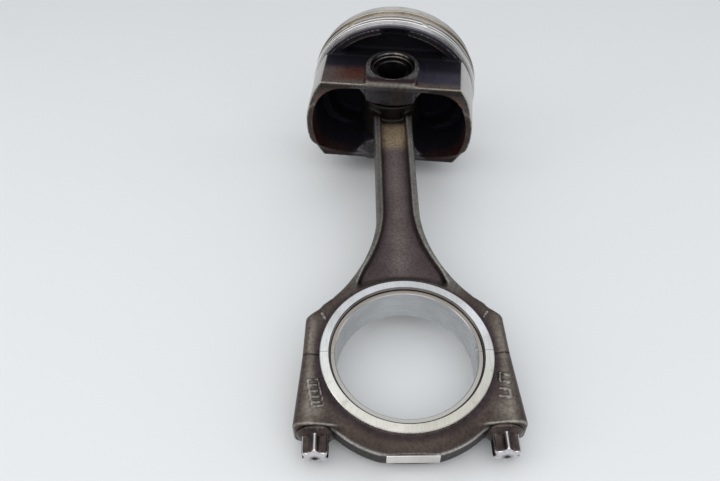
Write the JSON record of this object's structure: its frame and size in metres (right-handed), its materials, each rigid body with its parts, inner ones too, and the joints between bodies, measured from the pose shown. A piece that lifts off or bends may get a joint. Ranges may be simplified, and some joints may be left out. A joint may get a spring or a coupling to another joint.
{
  "type": "piston and connecting rod",
  "caption": "Engine connecting rod with a bolted split big end, plain bearing shells, a floating pin and a slipper piston with its ring packs.",
  "frame": {"origin": "centre of the big-end (crankpin) bore, midway between its thrust faces", "axes": "+Y along the rod to the piston pin, +Z along the big-end bore, +X to the right seen from +Z with the piston away from the viewer"},
  "size_m": [0.0849, 0.212, 0.0818],
  "materials": {
    "forged_steel": "dark as-forged skin, satin",
    "shell_alloy": "plain bearing lining, satin",
    "bush_bronze": "bored bronze",
    "bolt_steel": "black oxide",
    "piston_alloy": "cast aluminium with varnish",
    "pin_steel": "ground and polished",
    "clip_steel": "spring wire",
    "ring_steel": "ground steel",
    "ring_iron": "phosphated iron"
  },
  "bodies": {
    "rod": {"connecting_rod": "forged_steel", "rod_cap": "forged_steel", "bearing_shell_rod": "shell_alloy", "bearing_shell_cap": "shell_alloy", "small_end_bush": "bush_bronze", "rod_bolt_left": "bolt_steel", "rod_bolt_right": "bolt_steel"},
    "piston": {"piston_body": "piston_alloy", "circlip_upper": "clip_steel", "circlip_lower": "clip_steel"},
    "pin": {"piston_pin": "pin_steel"},
    "ring_top": {"top_ring": "ring_steel"},
    "ring_second": {"second_ring": "ring_iron"},
    "rail_upper": {"oil_upper_rail": "ring_steel"},
    "expander": {"oil_expander": "ring_steel"},
    "rail_lower": {"oil_lower_rail": "ring_steel"}
  },
  "joints": [
    {"name": "piston_swing", "type": "hinge", "parent": "rod", "child": "piston", "pos_m": [0, 0.1455, 0], "axis": [0, 0, 1], "range_deg": [-41.3, 54.7]},
    {"name": "pin_turn", "type": "hinge", "parent": "piston", "child": "pin", "pos_m": [0, 0.1455, 0], "axis": [0, 0, 1], "continuous": true},
    {"name": "top_ring_turn", "type": "hinge", "parent": "piston", "child": "ring_top", "pos_m": [0, 0.1455, 0], "axis": [0.1167, 0.9932, 0], "continuous": true},
    {"name": "second_ring_turn", "type": "hinge", "parent": "piston", "child": "ring_second", "pos_m": [0, 0.1455, 0], "axis": [0.1167, 0.9932, 0], "continuous": true},
    {"name": "oil_upper_rail_turn", "type": "hinge", "parent": "piston", "child": "rail_upper", "pos_m": [0, 0.1455, 0], "axis": [0.1167, 0.9932, 0], "continuous": true},
    {"name": "oil_expander_turn", "type": "hinge", "parent": "piston", "child": "expander", "pos_m": [0, 0.1455, 0], "axis": [0.1167, 0.9932, 0], "continuous": true},
    {"name": "oil_lower_rail_turn", "type": "hinge", "parent": "piston", "child": "rail_lower", "pos_m": [0, 0.1455, 0], "axis": [0.1167, 0.9932, 0], "continuous": true}
  ]
}
